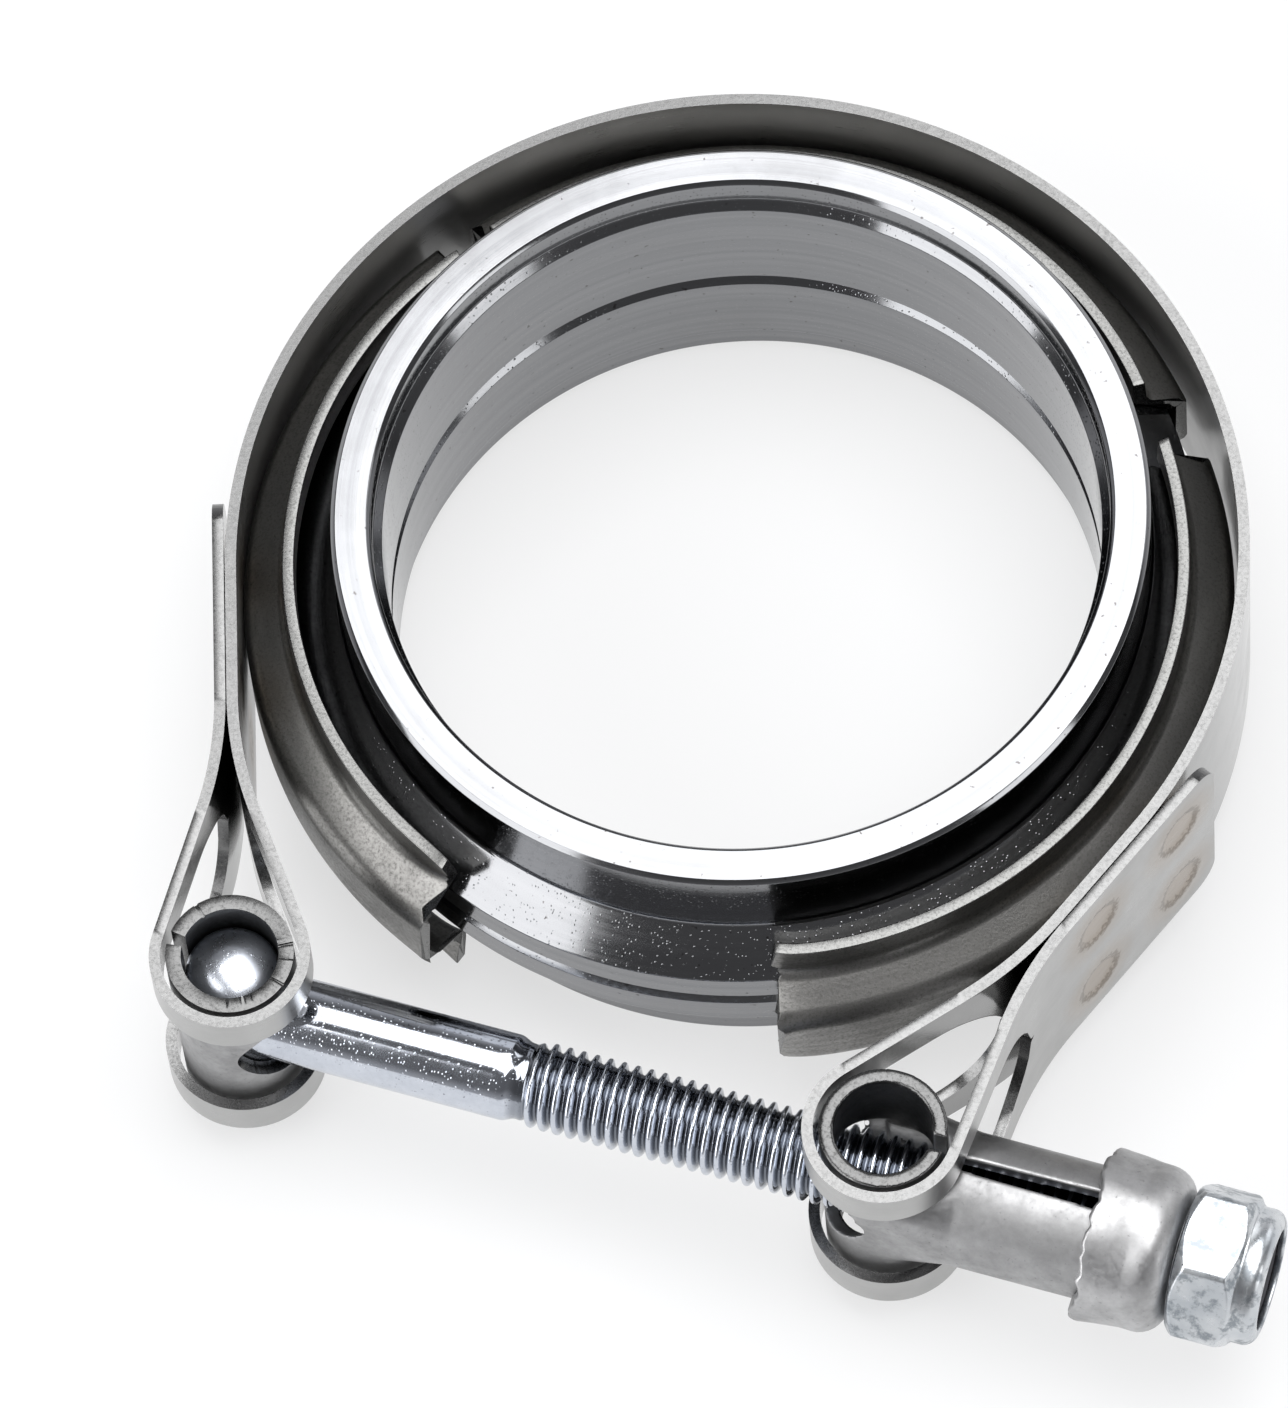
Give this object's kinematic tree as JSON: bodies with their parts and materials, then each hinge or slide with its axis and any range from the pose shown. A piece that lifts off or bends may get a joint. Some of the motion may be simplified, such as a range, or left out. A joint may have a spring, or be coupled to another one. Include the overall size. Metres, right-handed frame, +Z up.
{
  "type": "v band clamp",
  "caption": "V band clamp with a T bolt and lock nut, closed loosely round the pair of turned flanges it joins; the flanges take a pipe at each end.",
  "frame": {"origin": "on the axis of the flanges, at the surface that the lower flange stands on", "axes": "+Z up along the flanges' axis, +X along the bolt from its head to its nut, the bolt on the -Y side"},
  "size_m": [0.1103, 0.1036, 0.031],
  "materials": {
    "turned_steel": "bright turned steel with fine lathe grain",
    "strip_steel": "satin rolled stainless strip with bright sheared edges",
    "channel_steel": "dull pressed stainless sheet with bright sheared edges",
    "rolled_steel": "satin rolled stainless sheet",
    "zinc_plate": "bright bluish zinc plate",
    "locking_ring": "dark locking ring"
  },
  "bodies": {
    "clamp": {"upper_flange": "turned_steel", "lower_flange": "turned_steel", "band_strap": "strip_steel", "v_segment_left": "channel_steel", "v_segment_rear": "channel_steel", "v_segment_right": "channel_steel"},
    "bolt": {"bolt_barrel": "rolled_steel", "t_bolt": "zinc_plate"},
    "trunnion": {"nut_trunnion": "rolled_steel", "stem_ferrule": "rolled_steel"},
    "nut_ring": {"nut_insert": "locking_ring"},
    "nut": {"lock_nut": "zinc_plate"}
  },
  "joints": [
    {"name": "bolt_swing", "type": "hinge", "parent": "clamp", "child": "bolt", "pos_m": [-0.031, -0.0519, 0.0161], "axis": [0, 0, 1], "range_deg": [-0.45, 0.45]},
    {"name": "trunnion_swing", "type": "hinge", "parent": "clamp", "child": "trunnion", "pos_m": [0.0288, -0.0519, 0.0161], "axis": [0, 0, 1], "range_deg": [-0.45, 0.45]},
    {"name": "nut_travel", "type": "slide", "parent": "bolt", "child": "nut_ring", "axis": [1, 0, 0], "range_m": [0, 0.005]},
    {"name": "nut_turn", "type": "hinge", "parent": "nut_ring", "child": "nut", "pos_m": [0.06, -0.0519, 0.0161], "axis": [1, 0, 0], "range_deg": [0, 1440]}
  ],
  "couplings": [
    {"joint": "trunnion_swing", "follows": "bolt_swing", "ratio": 1},
    {"joint": "nut_travel", "follows": "nut_turn", "m_per_rad": 0.00019894}
  ]
}
